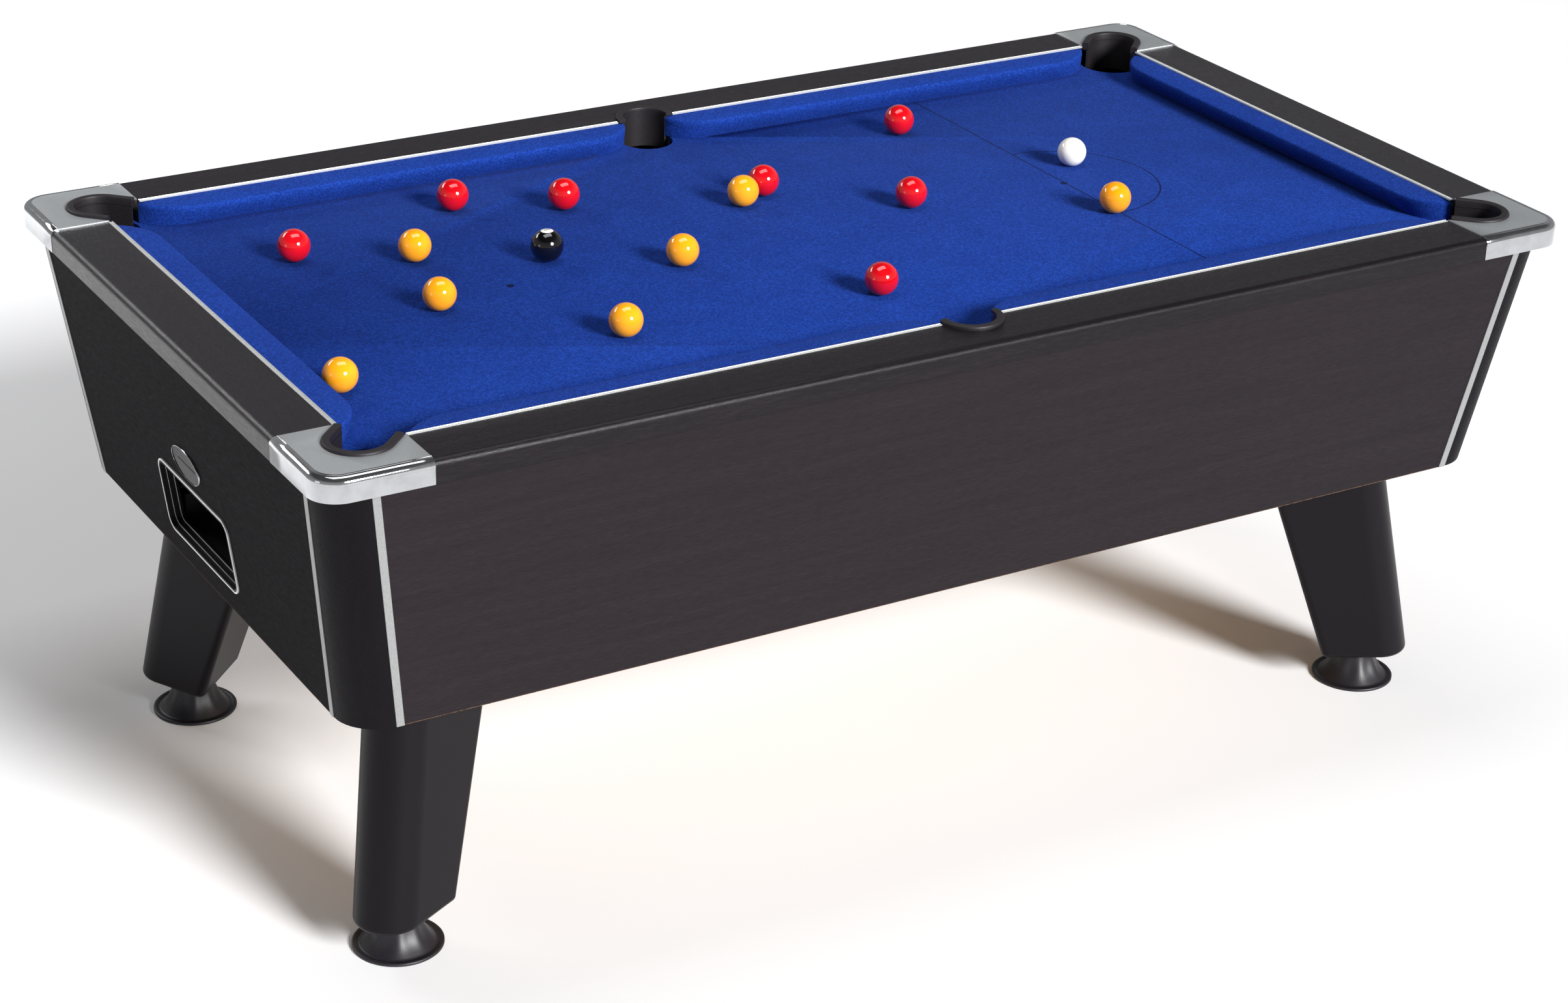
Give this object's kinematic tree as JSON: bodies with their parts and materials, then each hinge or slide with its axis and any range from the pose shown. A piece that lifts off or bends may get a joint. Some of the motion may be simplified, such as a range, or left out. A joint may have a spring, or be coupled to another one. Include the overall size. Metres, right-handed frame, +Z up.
{
  "type": "pool table",
  "caption": "Freeplay pool table with blue cloth, black leaning cabinet, metal corner caps, splayed legs, end ball return and loose balls.",
  "frame": {"origin": "on the floor, under the middle of the bed", "axes": "+X along the table towards the baulk end, -X the ball return end, +Y to the rear long side, +Z up"},
  "size_m": [2.104, 1.186, 0.8591],
  "materials": {
    "rail_wood": "black woodgrain foil, satin",
    "panel_wood": "black-brown woodgrain laminate, satin",
    "cap_metal": "satin top with polished edge",
    "collar_rubber": "moulded, fine texture",
    "blue_cloth": "napped wool blend",
    "cushion_cloth": "cloth over rubber",
    "light_trim": "satin extrusion",
    "slate": "honed slate",
    "timber": "planed softwood",
    "chipboard": "melamine-faced chipboard",
    "run_plastic": "black, smooth",
    "surround_plastic": "black with bright pin lines",
    "badge_plate": "black dish with bright rim",
    "leg_black": "smooth satin black",
    "foot_plastic": "moulded black",
    "zinc_steel": "zinc plated",
    "ball_red": "polished phenolic",
    "ball_yellow": "polished phenolic",
    "ball_black": "polished phenolic",
    "ball_white": "polished phenolic"
  },
  "bodies": {
    "table": {"badge_plate": "badge_plate", "ball_runs": "run_plastic", "bed_cloth": "blue_cloth", "cabinet_floor": "chipboard", "cloth_trims": "light_trim", "corner_cap_front_left": "cap_metal", "corner_cap_front_right": "cap_metal", "corner_cap_rear_left": "cap_metal", "corner_cap_rear_right": "cap_metal", "corner_posts": "panel_wood", "cushion_front_left": "cushion_cloth", "cushion_front_right": "cushion_cloth", "cushion_left": "cushion_cloth", "cushion_rear_left": "cushion_cloth", "cushion_rear_right": "cushion_cloth", "cushion_right": "cushion_cloth", "end_panel_left": "panel_wood", "end_panel_right": "panel_wood", "joint_strips": "light_trim", "leg_fixings": "zinc_steel", "leg_front_left": "leg_black", "leg_front_right": "leg_black", "leg_rear_left": "leg_black", "leg_rear_right": "leg_black", "pocket_collar_front_left": "collar_rubber", "pocket_collar_front_middle": "collar_rubber", "pocket_collar_front_right": "collar_rubber", "pocket_collar_rear_left": "collar_rubber", "pocket_collar_rear_middle": "collar_rubber", "pocket_collar_rear_right": "collar_rubber", "rail_front": "rail_wood", "rail_left": "rail_wood", "rail_rear": "rail_wood", "rail_right": "rail_wood", "return_surround": "surround_plastic", "return_tray": "run_plastic", "side_panel_front": "panel_wood", "side_panel_rear": "panel_wood", "slate_bearers": "timber", "slate_bed": "slate"},
    "levelling_foot_front_left": {"levelling_foot_front_left": "foot_plastic"},
    "levelling_foot_front_right": {"levelling_foot_front_right": "foot_plastic"},
    "levelling_foot_rear_left": {"levelling_foot_rear_left": "foot_plastic"},
    "levelling_foot_rear_right": {"levelling_foot_rear_right": "foot_plastic"},
    "black_ball": {"black_ball": "ball_black"},
    "cue_ball": {"cue_ball": "ball_white"},
    "red_ball_1": {"red_ball_1": "ball_red"},
    "red_ball_2": {"red_ball_2": "ball_red"},
    "red_ball_3": {"red_ball_3": "ball_red"},
    "red_ball_4": {"red_ball_4": "ball_red"},
    "red_ball_5": {"red_ball_5": "ball_red"},
    "red_ball_6": {"red_ball_6": "ball_red"},
    "red_ball_7": {"red_ball_7": "ball_red"},
    "yellow_ball_1": {"yellow_ball_1": "ball_yellow"},
    "yellow_ball_2": {"yellow_ball_2": "ball_yellow"},
    "yellow_ball_3": {"yellow_ball_3": "ball_yellow"},
    "yellow_ball_4": {"yellow_ball_4": "ball_yellow"},
    "yellow_ball_5": {"yellow_ball_5": "ball_yellow"},
    "yellow_ball_6": {"yellow_ball_6": "ball_yellow"},
    "yellow_ball_7": {"yellow_ball_7": "ball_yellow"}
  },
  "joints": [
    {"name": "levelling_foot_front_left_screw", "type": "slide", "parent": "table", "child": "levelling_foot_front_left", "axis": [0, 0, -1], "range_m": [0, 0.02]},
    {"name": "levelling_foot_front_right_screw", "type": "slide", "parent": "table", "child": "levelling_foot_front_right", "axis": [0, 0, -1], "range_m": [0, 0.02]},
    {"name": "levelling_foot_rear_left_screw", "type": "slide", "parent": "table", "child": "levelling_foot_rear_left", "axis": [0, 0, -1], "range_m": [0, 0.02]},
    {"name": "levelling_foot_rear_right_screw", "type": "slide", "parent": "table", "child": "levelling_foot_rear_right", "axis": [0, 0, -1], "range_m": [0, 0.02]},
    {"name": "black_ball_lift", "type": "slide", "parent": "table", "child": "black_ball", "axis": [0, 0, 1], "range_m": [0, 0.12]},
    {"name": "cue_ball_lift", "type": "slide", "parent": "table", "child": "cue_ball", "axis": [0, 0, 1], "range_m": [0, 0.12]},
    {"name": "red_ball_1_lift", "type": "slide", "parent": "table", "child": "red_ball_1", "axis": [0, 0, 1], "range_m": [0, 0.12]},
    {"name": "red_ball_2_lift", "type": "slide", "parent": "table", "child": "red_ball_2", "axis": [0, 0, 1], "range_m": [0, 0.12]},
    {"name": "red_ball_3_lift", "type": "slide", "parent": "table", "child": "red_ball_3", "axis": [0, 0, 1], "range_m": [0, 0.12]},
    {"name": "red_ball_4_lift", "type": "slide", "parent": "table", "child": "red_ball_4", "axis": [0, 0, 1], "range_m": [0, 0.12]},
    {"name": "red_ball_5_lift", "type": "slide", "parent": "table", "child": "red_ball_5", "axis": [0, 0, 1], "range_m": [0, 0.12]},
    {"name": "red_ball_6_lift", "type": "slide", "parent": "table", "child": "red_ball_6", "axis": [0, 0, 1], "range_m": [0, 0.12]},
    {"name": "red_ball_7_lift", "type": "slide", "parent": "table", "child": "red_ball_7", "axis": [0, 0, 1], "range_m": [0, 0.12]},
    {"name": "yellow_ball_1_lift", "type": "slide", "parent": "table", "child": "yellow_ball_1", "axis": [0, 0, 1], "range_m": [0, 0.12]},
    {"name": "yellow_ball_2_lift", "type": "slide", "parent": "table", "child": "yellow_ball_2", "axis": [0, 0, 1], "range_m": [0, 0.12]},
    {"name": "yellow_ball_3_lift", "type": "slide", "parent": "table", "child": "yellow_ball_3", "axis": [0, 0, 1], "range_m": [0, 0.12]},
    {"name": "yellow_ball_4_lift", "type": "slide", "parent": "table", "child": "yellow_ball_4", "axis": [0, 0, 1], "range_m": [0, 0.12]},
    {"name": "yellow_ball_5_lift", "type": "slide", "parent": "table", "child": "yellow_ball_5", "axis": [0, 0, 1], "range_m": [0, 0.12]},
    {"name": "yellow_ball_6_lift", "type": "slide", "parent": "table", "child": "yellow_ball_6", "axis": [0, 0, 1], "range_m": [0, 0.12]},
    {"name": "yellow_ball_7_lift", "type": "slide", "parent": "table", "child": "yellow_ball_7", "axis": [0, 0, 1], "range_m": [0, 0.12]}
  ]
}
